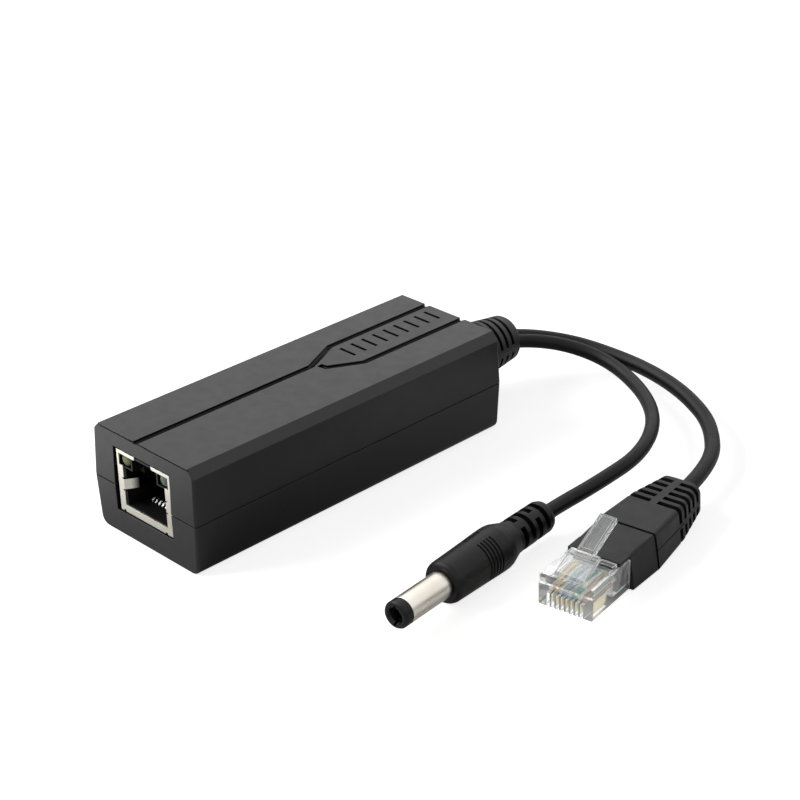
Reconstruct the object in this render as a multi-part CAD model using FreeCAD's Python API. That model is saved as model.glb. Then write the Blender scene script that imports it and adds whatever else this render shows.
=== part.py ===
import FreeCAD, Part
import math
import os

# Power-over-Ethernet splitter, real size in millimetres.
# X is the width, Y the length with the jack at -Y, Z is up from the table.

V = FreeCAD.Vector
UP = V(0, 0, 1)
AHEAD = V(0, 1, 0)
os.makedirs("parts", exist_ok=True)

# Case: two drafted half shells that meet at the parting height
CASE_WIDE = 31.0
CASE_LONG = 83.6
CASE_HEIGHT = 22.8
PARTING_Z = 11.2
CHAMFER_DROP = 1.85
CHAMFER_IN = (0.3, 0.4)
TOP_IN = (1.95, 0.45)
BASE_IN = (0.6, 0.2)
WALL = 1.8
EDGE_ROUND = 0.5
BASE_ROUND = 2.0
REVEAL = 0.3
LIP_THICK = 0.6
LIP_TALL = 1.1
LIP_PLAY = 0.05
PAST = 5.0

CHAMFER_Z = CASE_HEIGHT - CHAMFER_DROP
PART_HALF = (CASE_WIDE / 2, CASE_LONG / 2)
CHAMFER_HALF = (PART_HALF[0] - CHAMFER_IN[0], PART_HALF[1] - CHAMFER_IN[1])
TOP_HALF = (PART_HALF[0] - TOP_IN[0], PART_HALF[1] - TOP_IN[1])
BASE_HALF = (PART_HALF[0] - BASE_IN[0], PART_HALF[1] - BASE_IN[1])

# Grooves that frame the panel on the top face, and the raised-text place on it
GROOVE_DEEP = 0.6
GROOVE_FLOOR = 0.35
GROOVE_WIDE = 1.5
GROOVE_END = PART_HALF[1] + PAST
PANEL_GROOVE_LEFT = [(-2.45, -GROOVE_END), (-2.45, 3.4), (-6.6, 12.5), (-6.6, GROOVE_END)]
PANEL_GROOVE_RIGHT = [(-1.0, 5.75), (0.4, 6.0), (4.0, 12.6), (4.0, GROOVE_END)]
MARK_COUNT = 9
MARK_PITCH = 3.1
MARK_START = PART_HALF[1] - 28.8
MARK_SIZE = (4.6, 0.75)
MARK_DEEP = 0.25
MARK_X = -1.3

# Circuit board and its supports
BOARD_TOP = 5.7
BOARD_THICK = 1.6
BOARD_HALF = PART_HALF[0] - 2.5
BOARD_FRONT = -PART_HALF[1] + 2.2
BOARD_REAR = PART_HALF[1] - 10.8
RIB_X = PART_HALF[0] - 6.5
BOSS_FRONT_Y = -PART_HALF[1] + 5.2
BOSS_REAR_Y = PART_HALF[1] - 7.2
BOSS_R = 2.1
PIN_R = 1.0

# Shielded jack, front face a little behind the case front
JACK_X = -0.15
JACK_FRONT = -PART_HALF[1] + 0.4
JACK_ROOF = 3.6
JACK_WIDE = 16.2
JACK_TALL = CASE_HEIGHT - BOARD_TOP - JACK_ROOF
JACK_DEEP = 21.3
JACK_GAP = 0.25
JACK_GAP_LEFT = 0.85
BOSS_X = abs(JACK_X) + JACK_WIDE / 2 + 0.35 + BOSS_R
SHEET = 0.3
FRAME_LOW = 1.55
FRAME_HALF = 6.45
LAMP_HIGH = JACK_TALL - 0.75
LAMP_LOW = LAMP_HIGH - 2.5
LAMP_OUT = 7.5
LAMP_IN = 4.1
LAMP_X = 5.85
LAMP_R = 1.3
PORT_HALF = 6.0
PORT_TALL = LAMP_LOW - FRAME_LOW - 1.9
PORT_DEEP = 14.5
LATCH_WAY_HALF = 3.7
TAB_GAP_HALF = 2.55
TAB_TALL = 2.2
TAB_LOW = (FRAME_LOW + LAMP_LOW) / 2 + 0.2 - TAB_TALL / 2
CONTACT_COUNT = 8
CONTACT_PITCH = 1.02

# Rear cable boot
BOOT_Z = 10.55
BOOT_FACE = PART_HALF[1]
BOOT_LONG = 18.2
BOOT_END = BOOT_FACE + BOOT_LONG
BOOT_NECK_R = 6.2
BOOT_END_R = 5.25
BOOT_PLATE = (15.2, 12.0, 1.8)
BOOT_SLOT_PITCH = 2.1

# Cords, straight runs joined by tangent arcs
POWER_CORD_D = 3.1
DATA_CORD_D = 3.3
RUN_SHARE = 0.45

# Power plug, lying on the table
BARREL_R = 2.75
BARREL_OUT = 13.3
BARREL_ROOT = 0.45
BARREL_WALL = 0.4
NECK_DROP = 0.35
NECK_WALL = 0.3
NECK_LONG = 4.0
TIP_RING = 2.1
PIN_BORE_R = 1.05
POWER_PLUG_LONG = 45.0
POWER_PLUG_R = 4.7
POWER_PLUG_POSE = (56.4, BOOT_FACE - 71.9, POWER_PLUG_R, 5.6)
POWER_CORD_SEAT = 6.0

# Modular plug, lying on the table with its latch up
MOD_HALF = 5.83
MOD_TALL = 6.5
MOD_LONG = 13.6
MOD_NOSE_Y = 10.0
MOD_STEP_Y = 22.1
MOD_BOOT_END = 44.6
MOD_CORD_Z = 4.2
MOD_PLUG_POSE = (73.05, BOOT_FACE - 44.85, 0.0, 9.5)
MOD_CORD_SEAT = 3.4


def save(name, shapes):
    """Write one node; several solids are written as one compound."""
    solids = []
    for shape in shapes if isinstance(shapes, list) else [shapes]:
        solids.extend(shape.Solids)
    shape = solids[0] if len(solids) == 1 else Part.makeCompound(solids)
    shape.exportStep("parts/" + name + ".step")
    volume = sum(solid.Volume for solid in solids)
    print(name, "solids", len(solids), "volume", round(volume, 2), "valid", shape.isValid())


def block(x0, x1, y0, y1, z0, z1):
    return Part.makeBox(x1 - x0, y1 - y0, z1 - z0, V(x0, y0, z0))


def fused(shapes):
    body = shapes[0]
    if len(shapes) > 1:
        body = body.multiFuse(shapes[1:])
    return body.removeSplitter()


def rectangle(half, z):
    x, y = half
    corners = [V(-x, -y, z), V(x, -y, z), V(x, y, z), V(-x, y, z)]
    return Part.makePolygon(corners + corners[:1])


def drafted(levels):
    """Solid through rectangles given as (half size, height)."""
    return Part.makeLoft([rectangle(half, z) for half, z in levels], True, True)


def prism(points, along):
    face = Part.Face(Part.makePolygon(points + points[:1]))
    return face.extrude(along)


def revolved(profile, start, axis):
    """Turn a closed (along, radius) profile about the axis through start."""
    side = axis.cross(UP)
    points = [start + axis * along + side * radius for along, radius in profile]
    face = Part.Face(Part.makePolygon(points + points[:1]))
    return face.revolve(start, axis, 360)


def cylinder(radius, length, start, axis):
    return Part.makeCylinder(radius, length, start, axis)


def strip(path, thick, width, origin, first, second):
    """Bent flat strip: a mitred band around a planar path, made wide across it."""
    left, right = [], []
    for i, (a, b) in enumerate(path):
        normals = []
        for j in (i - 1, i):
            if 0 <= j < len(path) - 1:
                da = path[j + 1][0] - path[j][0]
                db = path[j + 1][1] - path[j][1]
                run = math.hypot(da, db)
                normals.append((-db / run, da / run))
        na = sum(n[0] for n in normals) / len(normals)
        nb = sum(n[1] for n in normals) / len(normals)
        reach = thick / 2 / (na * na + nb * nb)
        left.append(origin + first * (a + na * reach) + second * (b + nb * reach))
        right.append(origin + first * (a - na * reach) + second * (b - nb * reach))
    across = first.cross(second)
    outline = [p - across * (width / 2) for p in left + right[::-1]]
    return prism(outline, across * width)


def rounded_route(points):
    """Wire of straight runs and tangent arcs, with the arc radii."""
    edges, radii = [], []
    start = points[0]
    for i in range(1, len(points) - 1):
        back = points[i - 1] - points[i]
        on = points[i + 1] - points[i]
        reach = RUN_SHARE * min(back.Length, on.Length)
        back.normalize()
        on.normalize()
        half_turn = (math.pi - back.getAngle(on)) / 2
        radius = reach / math.tan(half_turn)
        inward = back + on
        inward.normalize()
        middle = points[i] + inward * (radius / math.cos(half_turn) - radius)
        enter = points[i] + back * reach
        leave = points[i] + on * reach
        edges.append(Part.LineSegment(start, enter).toShape())
        edges.append(Part.Arc(enter, middle, leave).toShape())
        radii.append(radius)
        start = leave
    edges.append(Part.LineSegment(start, points[-1]).toShape())
    return Part.Wire(edges), radii


def tube(points, diameter):
    wire, radii = rounded_route(points)
    heading = points[1] - points[0]
    circle = Part.Wire(Part.Circle(points[0], heading, diameter / 2).toShape())
    return wire.makePipeShell([circle], True, False), wire.Length, radii


def placed(shape, pose):
    """Move a plug built with its nose at the origin facing -Y to its pose."""
    moved = shape.copy()
    moved.rotate(V(0, 0, 0), UP, pose[3])
    moved.translate(V(*pose[:3]))
    return moved


def plug_axis(pose, along, height):
    turn = math.radians(pose[3])
    return V(pose[0] - along * math.sin(turn), pose[1] + along * math.cos(turn), height)


def slotted(body, core, slots, wide, webs):
    """Cut ring slots down to the core and leave the lengthwise webs standing."""
    cutters = []
    for i, y in enumerate(slots):
        slab = block(-20, 20, y - wide / 2, y + wide / 2, -20, 40).cut(core)
        for web in webs[i % len(webs)]:
            slab = slab.cut(web)
        cutters.append(slab)
    return body.cut(Part.makeCompound(cutters))


def spine(angle, wide, reach, y0, y1, centre_z=0.0):
    """Lengthwise web through the axis that bridges the slots."""
    bar = block(-reach, reach, y0, y1, -wide / 2, wide / 2)
    bar.rotate(V(0, 0, 0), AHEAD, angle)
    bar.translate(V(0, 0, centre_z))
    return bar


def groove_cutter(path):
    """Mitred groove with an upright left wall and a floor that ramps up."""
    bottom = CASE_HEIGHT - GROOVE_DEEP
    over = 1.0
    slope = GROOVE_DEEP / (GROOVE_WIDE - GROOVE_FLOOR)
    profile = [(0, over), (0, -GROOVE_DEEP), (GROOVE_FLOOR, -GROOVE_DEEP)]
    profile.append((GROOVE_WIDE + over / slope, over))
    x, y = path[0]
    way = V(path[1][0] - x, path[1][1] - y, 0)
    way.normalize()
    side = V(way.y, -way.x, 0)
    corner = V(x, y, CASE_HEIGHT)
    points = [corner + side * a + UP * b for a, b in profile]
    sweep = Part.BRepOffsetAPI.MakePipeShell(Part.makePolygon([V(a, b, bottom) for a, b in path]))
    sweep.setBiNormalMode(UP)
    sweep.setTransitionMode(1)
    sweep.add(Part.makePolygon(points + points[:1]))
    sweep.build()
    sweep.makeSolid()
    return sweep.shape()


def upright_edges(shape, low, high):
    found = []
    for edge in shape.Edges:
        box = edge.BoundBox
        if box.ZLength > 2 and box.XLength < 2 and box.YLength < 2:
            if box.ZMin > low - 0.1 and box.ZMax < high + 0.1:
                found.append(edge)
    return found


# Case shells

jack_low = BOARD_TOP
jack_high = BOARD_TOP + JACK_TALL
jack_left = JACK_X - JACK_WIDE / 2
jack_right = JACK_X + JACK_WIDE / 2
jack_hole = block(jack_left - JACK_GAP_LEFT, jack_right + JACK_GAP,
                  -PART_HALF[1] - PAST, -PART_HALF[1] + 2 * WALL,
                  jack_low - JACK_GAP, jack_high + JACK_GAP)
boot_hole = cylinder(BOOT_NECK_R, 2 * PAST, V(0, BOOT_FACE - PAST, BOOT_Z), AHEAD)

top_outer = drafted([(PART_HALF, PARTING_Z), (CHAMFER_HALF, CHAMFER_Z), (TOP_HALF, CASE_HEIGHT)])
top_outer = top_outer.makeFillet(EDGE_ROUND, upright_edges(top_outer, PARTING_Z, CHAMFER_Z))
inner_half = (PART_HALF[0] - WALL, PART_HALF[1] - WALL)
top_inner = drafted([
    (inner_half, PARTING_Z - 0.01),
    ((CHAMFER_HALF[0] - WALL, CHAMFER_HALF[1] - WALL), CHAMFER_Z - 0.7),
    ((TOP_HALF[0] - 0.75, TOP_HALF[1] - WALL), CASE_HEIGHT - WALL),
])
lip_half = (inner_half[0] + LIP_THICK, inner_half[1] + LIP_THICK)
lip = drafted([(lip_half, PARTING_Z - LIP_TALL), (lip_half, PARTING_Z)])
lip = lip.cut(drafted([(inner_half, PARTING_Z - LIP_TALL), (inner_half, PARTING_Z)]))
boss_places = [(x, y) for x in (-BOSS_X, BOSS_X) for y in (BOSS_FRONT_Y, BOSS_REAR_Y)]
posts = []
for x, y in boss_places:
    posts.append(cylinder(BOSS_R, CASE_HEIGHT - WALL / 2 - PARTING_Z, V(x, y, PARTING_Z), UP))
    posts.append(cylinder(PIN_R, 4, V(x, y, PARTING_Z - 3), UP))
below = block(-inner_half[0], inner_half[0], -inner_half[1], inner_half[1], WALL, PARTING_Z)
posts = [post.common(top_outer.fuse(below)) for post in posts]
top_shell = fused([top_outer.cut(top_inner), lip] + posts)
marks = []
for i in range(MARK_COUNT):
    y = MARK_START + i * MARK_PITCH
    marks.append(block(MARK_X - MARK_SIZE[0] / 2, MARK_X + MARK_SIZE[0] / 2, y, y + MARK_SIZE[1],
                       CASE_HEIGHT - MARK_DEEP, CASE_HEIGHT + 1))
edge_lines = []
for x0, x1 in ((-TOP_HALF[0] - 0.85, -2.6), (1.0, TOP_HALF[0] + 0.85)):
    edge_lines.append(block(x0, x1, -TOP_HALF[1] - 1, -TOP_HALF[1] + 0.28,
                            CASE_HEIGHT - 0.45, CASE_HEIGHT - 0.16))
cutters = [groove_cutter(PANEL_GROOVE_LEFT), groove_cutter(PANEL_GROOVE_RIGHT)]
cutters += marks + edge_lines + [jack_hole, boot_hole]
for cutter in cutters:
    top_shell = top_shell.cut(cutter)
save("top_shell", top_shell)

base_outer = drafted([(BASE_HALF, 0), (PART_HALF, PARTING_Z)])
long_edges = [e for e in base_outer.Edges if e.BoundBox.ZMax < 0.01 and e.BoundBox.YLength > CASE_WIDE]
base_outer = base_outer.makeFillet(BASE_ROUND, long_edges)
end_edges = [e for e in base_outer.Edges
             if e.BoundBox.YLength < 1 and (e.BoundBox.ZMax < PARTING_Z - 0.01 or e.BoundBox.ZLength > 2)]
base_outer = base_outer.makeFillet(EDGE_ROUND, end_edges)
base_inner = drafted([((BASE_HALF[0] - WALL, BASE_HALF[1] - WALL), WALL), (inner_half, PARTING_Z + 0.01)])
rebate_half = (lip_half[0] + LIP_PLAY, lip_half[1] + LIP_PLAY)
rebate = drafted([(rebate_half, PARTING_Z - LIP_TALL - 0.15), (rebate_half, PARTING_Z + 0.01)])
reveal_half = (PART_HALF[0] - REVEAL, PART_HALF[1] - REVEAL)
reveal = block(-PART_HALF[0] - PAST, PART_HALF[0] + PAST, -PART_HALF[1] - PAST, PART_HALF[1] + PAST,
               PARTING_Z - REVEAL, PARTING_Z + 0.01)
reveal = reveal.cut(drafted([(reveal_half, PARTING_Z - 1), (reveal_half, PARTING_Z + 1)]))
board_low = BOARD_TOP - BOARD_THICK
bottom_shell = base_outer.cut(base_inner).cut(rebate).cut(reveal)
supports = []
for x in (-RIB_X, RIB_X):
    supports.append(block(x - 0.6, x + 0.6, BOARD_FRONT + 5.6, BOARD_REAR - 3.0, WALL - 0.3, board_low))
inside = block(-inner_half[0], inner_half[0], -inner_half[1], inner_half[1], WALL - 0.3, PARTING_Z)
for x, y in boss_places:
    supports.append(cylinder(BOSS_R, PARTING_Z - WALL + 0.3, V(x, y, WALL - 0.3), UP).common(inside))
bottom_shell = fused([bottom_shell] + supports)
for x, y in boss_places:
    bottom_shell = bottom_shell.cut(cylinder(PIN_R + 0.05, 3.3, V(x, y, PARTING_Z - 3.2), UP))
bottom_shell = bottom_shell.cut(jack_hole).cut(boot_hole)
save("bottom_shell", bottom_shell)


# Shielded jack

def jack_block(x0, x1, d0, d1, z0, z1):
    """Block in jack terms: x from its centre, depth from its front, height from its foot."""
    return block(JACK_X + x0, JACK_X + x1, JACK_FRONT + d0, JACK_FRONT + d1,
                 BOARD_TOP + z0, BOARD_TOP + z1)


half_wide = JACK_WIDE / 2
shield = jack_block(-half_wide, half_wide, 0, JACK_DEEP, 0, JACK_TALL)
shield = shield.cut(jack_block(-half_wide + SHEET, half_wide - SHEET, SHEET, JACK_DEEP - SHEET,
                               -1, JACK_TALL - SHEET))
shield = fused([shield, jack_block(-half_wide, half_wide, 0, SHEET, 0, FRAME_LOW)])
shield_windows = [
    jack_block(-FRAME_HALF, FRAME_HALF, -1, SHEET + 0.01, FRAME_LOW, LAMP_LOW + 0.1),
    jack_block(-LAMP_OUT, LAMP_OUT, -1, SHEET + 0.01, LAMP_LOW, LAMP_HIGH),
    jack_block(-TAB_GAP_HALF, TAB_GAP_HALF, -1, SHEET + 0.01, LAMP_HIGH - 0.1, JACK_TALL + 1),
    jack_block(-TAB_GAP_HALF, TAB_GAP_HALF, -1, 3.2, JACK_TALL - SHEET - 0.01, JACK_TALL + 1),
    jack_block(-half_wide + 0.9, -half_wide + 1.5, -1, SHEET + 0.01, -1, 0.35),
    jack_block(half_wide - 2.4, half_wide - 1.8, -1, SHEET + 0.01, -1, 0.35),
]
for way in (-1, 1):
    inner, outer = sorted((way * (FRAME_HALF - 0.1), way * (FRAME_HALF + 0.4)))
    for low in (TAB_LOW - 0.4, TAB_LOW + TAB_TALL):
        shield_windows.append(jack_block(inner, outer, -1, SHEET + 0.01, low, low + 0.4))
for window in shield_windows:
    shield = shield.cut(window)
bar_ends = []
for edge in shield.Edges:
    middle = edge.BoundBox.Center
    at_gap = abs(abs(middle.x - JACK_X) - TAB_GAP_HALF) < 0.01
    if at_gap and abs(middle.z - BOARD_TOP - LAMP_HIGH) < 0.01 and edge.BoundBox.YLength > 0.1:
        bar_ends.append(edge)
shield = shield.makeFillet(0.35, bar_ends)
tabs = []
for way in (-1, 1):
    path = [(way * (FRAME_HALF + 0.1), SHEET / 2), (way * FRAME_HALF, SHEET / 2)]
    path += [(way * (FRAME_HALF - 0.7), 1.3), (way * (FRAME_HALF - 1.35), 2.5)]
    path += [(way * (FRAME_HALF - 1.05), 4.0)]
    tabs.append(strip(path, 0.24, TAB_TALL, V(JACK_X, JACK_FRONT, BOARD_TOP + TAB_LOW + TAB_TALL / 2),
                      V(1, 0, 0), AHEAD))
shield = fused([shield] + tabs)
save("jack_shield", shield)

trough_low = FRAME_LOW - 0.8
contact_path = [(4.3, trough_low + 0.2), (4.3, 1.75), (4.75, 2.15), (7.6, 3.5), (12.6, 4.3),
                (17.0, 4.3), (17.0, 0.0)]
contacts = []
for i in range(CONTACT_COUNT):
    x = JACK_X + (i - (CONTACT_COUNT - 1) / 2) * CONTACT_PITCH
    origin = V(x, JACK_FRONT, BOARD_TOP)
    contacts.append(strip(contact_path, 0.3, 0.42, origin, AHEAD, UP))

housing = jack_block(-half_wide + SHEET, half_wide - SHEET, SHEET, JACK_DEEP - SHEET,
                     0, JACK_TALL - SHEET)
port_low = FRAME_LOW + 0.1
port_high = port_low + PORT_TALL
lamp_floor = 0.4
hollows = [
    jack_block(-PORT_HALF, PORT_HALF, -1, PORT_DEEP, port_low, port_high),
    jack_block(-PORT_HALF, PORT_HALF, -1, 3.0, port_high - 0.1, LAMP_LOW - lamp_floor),
    jack_block(-LATCH_WAY_HALF, LATCH_WAY_HALF, -1, 9.0, port_high - 0.1, JACK_TALL - SHEET - 0.45),
]
for way in (-1, 1):
    inner, outer = sorted((way * (PORT_HALF - 0.2), way * (half_wide - SHEET - 0.5)))
    hollows.append(jack_block(inner, outer, -1, 6.6, TAB_LOW - 0.4, TAB_LOW + TAB_TALL + 0.4))
    inner, outer = sorted((way * LAMP_IN, way * LAMP_OUT))
    hollows.append(jack_block(inner, outer, -1, 4.5, LAMP_LOW - 0.1, LAMP_HIGH + 0.1))
for hollow in hollows:
    housing = housing.cut(hollow)
comb_half = CONTACT_PITCH * CONTACT_COUNT / 2
housing = housing.cut(jack_block(-comb_half, comb_half, 4.0, PORT_DEEP, trough_low, port_low + 0.1))
ribs = []
for i in range(CONTACT_COUNT + 1):
    x = (i - CONTACT_COUNT / 2) * CONTACT_PITCH
    ribs.append(jack_block(x - 0.2, x + 0.2, 4.0, PORT_DEEP, trough_low - 0.1, port_low))
housing = fused([housing] + ribs)
for contact in contacts:
    housing = housing.cut(contact)
save("jack_housing", housing)
save("jack_contacts", contacts)

lens_profile = [(0, 0), (0, LAMP_R), (-3.75, LAMP_R), (-4.05, LAMP_R * 0.82), (-4.2, LAMP_R * 0.45),
                (-4.25, 0)]
for name, way in (("jack_lamp_left", -1), ("jack_lamp_right", 1)):
    z = BOARD_TOP + (LAMP_LOW + LAMP_HIGH) / 2
    save(name, revolved(lens_profile, V(JACK_X + way * LAMP_X, JACK_FRONT + 4.5, z), AHEAD))


# Circuit board

board = block(-BOARD_HALF, BOARD_HALF, BOARD_FRONT, BOARD_REAR, board_low, BOARD_TOP)
notch_r = BOSS_R + 0.35
for x in (-BOSS_X, BOSS_X):
    board = board.cut(cylinder(notch_r, 5, V(x, BOSS_FRONT_Y, board_low - 1), UP))
    inner, outer = sorted((x, math.copysign(PART_HALF[0], x)))
    board = board.cut(block(inner, outer, BOSS_FRONT_Y - notch_r, BOSS_FRONT_Y + notch_r,
                            board_low - 1, BOARD_TOP + 1))
save("circuit_board", board)

# Components: their places and sizes follow the board's half width, its length behind
# the jack and the height under the roof
jack_rear = JACK_FRONT + JACK_DEEP
unit_x = BOARD_HALF / 13.0
unit_y = (BOARD_REAR - jack_rear) / 51.1
unit_z = (CASE_HEIGHT - WALL - BOARD_TOP) / 15.3
unit_r = (unit_x + unit_y) / 2


def spot(x, y):
    """Place on the board, with y counted from the jack's rear."""
    return x * unit_x, jack_rear + y * unit_y


def chip(place, wide, long, tall, pins, pitch, lead):
    """Moulded body with gull-wing leads on its two long sides."""
    x, y = spot(*place)
    wide, long, tall = wide * unit_x, long * unit_y, tall * unit_z
    lead_wide, lead_out = lead[0] * unit_y, lead[1] * unit_x
    body = block(x - wide / 2, x + wide / 2, y - long / 2, y + long / 2,
                 BOARD_TOP + 0.2, BOARD_TOP + tall)
    body = body.makeChamfer(0.2, [e for e in body.Edges if e.BoundBox.ZMin > BOARD_TOP + tall - 0.01])
    path = [(0, tall * 0.45), (lead_out * 0.45, tall * 0.45), (lead_out * 0.6, 0.1), (lead_out, 0.1)]
    leads = []
    for way in (-1, 1):
        for i in range(pins):
            origin = V(x + way * wide / 2, y + (i - (pins - 1) / 2) * pitch * unit_y, BOARD_TOP)
            leads.append(strip(path, 0.2, lead_wide, origin, V(way, 0, 0), UP))
    return body, leads


magnetics, magnetics_leads = chip((-4.2, 11.6), 9.6, 15.6, 6.0, 12, 1.27, (0.4, 1.0))
save("line_transformer", magnetics)
save("line_transformer_leads", magnetics_leads)

rectifiers, rectifier_leads = [], []
for y in (6.1, 13.5):
    body, leads = chip((8.0, y), 4.0, 4.8, 2.5, 2, 2.54, (0.7, 1.3))
    rectifiers.append(body)
    rectifier_leads.extend(leads)
save("bridge_rectifiers", rectifiers)
save("bridge_rectifier_leads", rectifier_leads)

controller, controller_leads = chip((-8.0, 26.5), 3.9, 4.9, 1.6, 4, 1.27, (0.4, 1.0))
save("controller_chip", controller)
save("controller_chip_leads", controller_leads)

# Switching transformer: ferrite core halves around a bobbin and its winding
core_x, core_y = spot(6.2, 27.1)
core_half_x, core_half_y = 6.4 * unit_x, 6.2 * unit_y
core_tall, core_plate, core_foot = 10.6 * unit_z, 2.2 * unit_z, 1.0
centre_r, bobbin_r, winding_r = 2.2 * unit_r, 2.7 * unit_r, 5.0 * unit_r
flange = 0.6
window_low = BOARD_TOP + core_foot + core_plate
window_tall = core_tall - 2 * core_plate
opening_r = winding_r + 0.15
core = block(core_x - core_half_x, core_x + core_half_x, core_y - core_half_y, core_y + core_half_y,
             BOARD_TOP + core_foot, BOARD_TOP + core_foot + core_tall)
window = cylinder(opening_r, window_tall, V(core_x, core_y, window_low), UP)
window = window.fuse(block(core_x - opening_r, core_x + opening_r, core_y - 2 * core_half_y,
                           core_y + 2 * core_half_y, window_low, window_low + window_tall))
core = core.cut(window)
core = fused([core, cylinder(centre_r, window_tall + 1, V(core_x, core_y, window_low - 0.5), UP)])
save("transformer_core", core)


def ring(outer_r, inner_r, low, tall):
    outer = cylinder(outer_r, tall, V(core_x, core_y, low), UP)
    return outer.cut(cylinder(inner_r, tall, V(core_x, core_y, low), UP))


winding_tall = window_tall - 2 * flange
bobbin = fused([ring(bobbin_r, centre_r, window_low, window_tall),
                ring(winding_r + 0.1, centre_r, window_low, flange),
                ring(winding_r + 0.1, centre_r, window_low + window_tall - flange, flange)])
save("transformer_bobbin", bobbin)
save("transformer_winding", ring(winding_r, bobbin_r, window_low + flange, winding_tall))
save("transformer_feet", [
    block(core_x + a * unit_x - 0.5, core_x + a * unit_x + 0.5, core_y + b * unit_y - 0.5,
          core_y + b * unit_y + 0.5, BOARD_TOP, BOARD_TOP + core_foot)
    for a in (-5, 0, 5) for b in (-5.4, 5.4)])


def standing(place, profile):
    """Turned component on the board from its (height, radius) profile."""
    x, y = spot(*place)
    points = [V(x + r, y, BOARD_TOP + a) for a, r in profile]
    return Part.Face(Part.makePolygon(points + points[:1])).revolve(V(x, y, 0), UP, 360)


def capacitor(place, radius, tall):
    """Can with a rolled foot groove."""
    r, top = radius * unit_r, tall * unit_z
    profile = [(0, 0), (0, r), (1.6, r), (1.9, r - 0.35), (2.2, r - 0.35)]
    profile += [(2.5, r), (top - 0.4, r), (top, r - 0.4), (top, 0)]
    return standing(place, profile)


save("input_capacitor", capacitor((-7.6, 38.3), 3.4, 12.5))
save("output_capacitors", [capacitor((x, 39.1), 2.6, 11.5) for x in (2.0, 9.2)])

choke_r, choke_top = 2.0 * unit_r, 4.0 * unit_z
choke_profile = [(0, 0), (0, choke_r), (0.8, choke_r), (0.8, choke_r - 0.4),
                 (choke_top - 0.8, choke_r - 0.4), (choke_top - 0.8, choke_r),
                 (choke_top - 0.2, choke_r), (choke_top, choke_r - 0.2), (choke_top, 0)]
save("output_choke", standing((-8.4, 45.0), choke_profile))

passives = []
for place in [(-11.2, 21.9), (-8.2, 21.9), (-5.2, 21.9), (-11.2, 31.3), (-8.2, 31.3), (-5.2, 31.3),
              (3.2, 3.5), (3.2, 6.5), (3.2, 9.5), (3.2, 12.5), (11.4, 44.5), (8.4, 44.5)]:
    x, y = spot(*place)
    passives.append(block(x - unit_x, x + unit_x, y - 0.62 * unit_y, y + 0.62 * unit_y,
                          BOARD_TOP, BOARD_TOP + 0.6))
save("chip_passives", passives)

# Wire ends, straight from the boot down to the board
lead_y = BOARD_REAR - 3.0
boot_inner_y = BOOT_FACE - WALL - BOOT_PLATE[2]


def board_lead(x, diameter, z):
    start = V(x, boot_inner_y, z)
    way = V(x, lead_y, BOARD_TOP) - start
    length = way.Length
    way.normalize()
    bar = cylinder(diameter / 2, length + 4, start - way * 2, way)
    return bar.common(block(x - 2, x + 2, lead_y - 3, boot_inner_y, BOARD_TOP, z + 3))


save("data_leads", [board_lead(-6.6 + 1.3 * i, 0.9, BOOT_Z + 1.2) for i in range(CONTACT_COUNT)])
save("power_leads", [board_lead(x, 1.3, BOOT_Z + 0.4) for x in (4.3, 6.4)])


# Cords, with the lengths along Y counted from the case's rear face

POWER_RUN = [(0.5, 10.4, 11.0), (2.1, 17.9, 10.75), (9.7, 28.7, 8.4), (22.7, 31.3, 6.1),
             (42.0, 20.3, 6.3), (52.4, 3.7, 6.7), (52.3, -12.1, 5.3)]
DATA_RUN = [(-3.2, 10.4, 11.2), (-1.1, 20.1, 10.2), (7.3, 31.6, 7.5), (21.0, 34.8, 6.2),
            (33.3, 32.6, 6.7), (43.7, 29.6, 6.1), (53.5, 24.6, 4.8)]
POWER_ROUTE = [V(x, BOOT_FACE + y, z) for x, y, z in POWER_RUN]
POWER_ROUTE.append(plug_axis(POWER_PLUG_POSE, POWER_PLUG_LONG + 3.0, POWER_PLUG_R))
POWER_ROUTE.append(plug_axis(POWER_PLUG_POSE, POWER_PLUG_LONG - POWER_CORD_SEAT, POWER_PLUG_R))
DATA_ROUTE = [V(x, BOOT_FACE + y, z) for x, y, z in DATA_RUN]
DATA_ROUTE.append(plug_axis(MOD_PLUG_POSE, MOD_BOOT_END + 12.7, MOD_CORD_Z))
DATA_ROUTE.append(plug_axis(MOD_PLUG_POSE, MOD_BOOT_END - MOD_CORD_SEAT, MOD_CORD_Z))
cords = {}
for name, route, diameter in (("power_cord", POWER_ROUTE, POWER_CORD_D),
                              ("data_cord", DATA_ROUTE, DATA_CORD_D)):
    cord, length, radii = tube(route, diameter)
    cords[name] = cord
    print(name, "length", round(length, 2), "radii", [round(r, 1) for r in radii])
    print(name, "section x length", round(math.pi * diameter ** 2 / 4 * length, 2))
    print(name, "route", [[round(c, 2) for c in p] for p in route])
    save(name, cord)


# Rear cable boot

boot_rear = BOOT_FACE - WALL - 0.2
boot_profile = [(boot_rear, 0), (boot_rear, BOOT_NECK_R), (BOOT_FACE - 0.6, BOOT_NECK_R),
                (BOOT_FACE - 0.6, 7.3), (BOOT_FACE + 0.12 * BOOT_LONG, 7.15),
                (BOOT_FACE + 0.5 * BOOT_LONG, 6.35), (BOOT_FACE + 0.86 * BOOT_LONG, BOOT_END_R + 0.2),
                (BOOT_END - 0.8, BOOT_END_R), (BOOT_END - 0.2, BOOT_END_R - 0.35),
                (BOOT_END, BOOT_END_R - 0.85), (BOOT_END, 0)]
boot_core = [(boot_rear, 0), (boot_rear, 5.6), (BOOT_FACE + 0.5 * BOOT_LONG, 4.9),
             (BOOT_END, 3.9), (BOOT_END, 0)]
boot = revolved(boot_profile, V(0, 0, BOOT_Z), AHEAD)
plate_y = BOOT_FACE - WALL + 0.1
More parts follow.
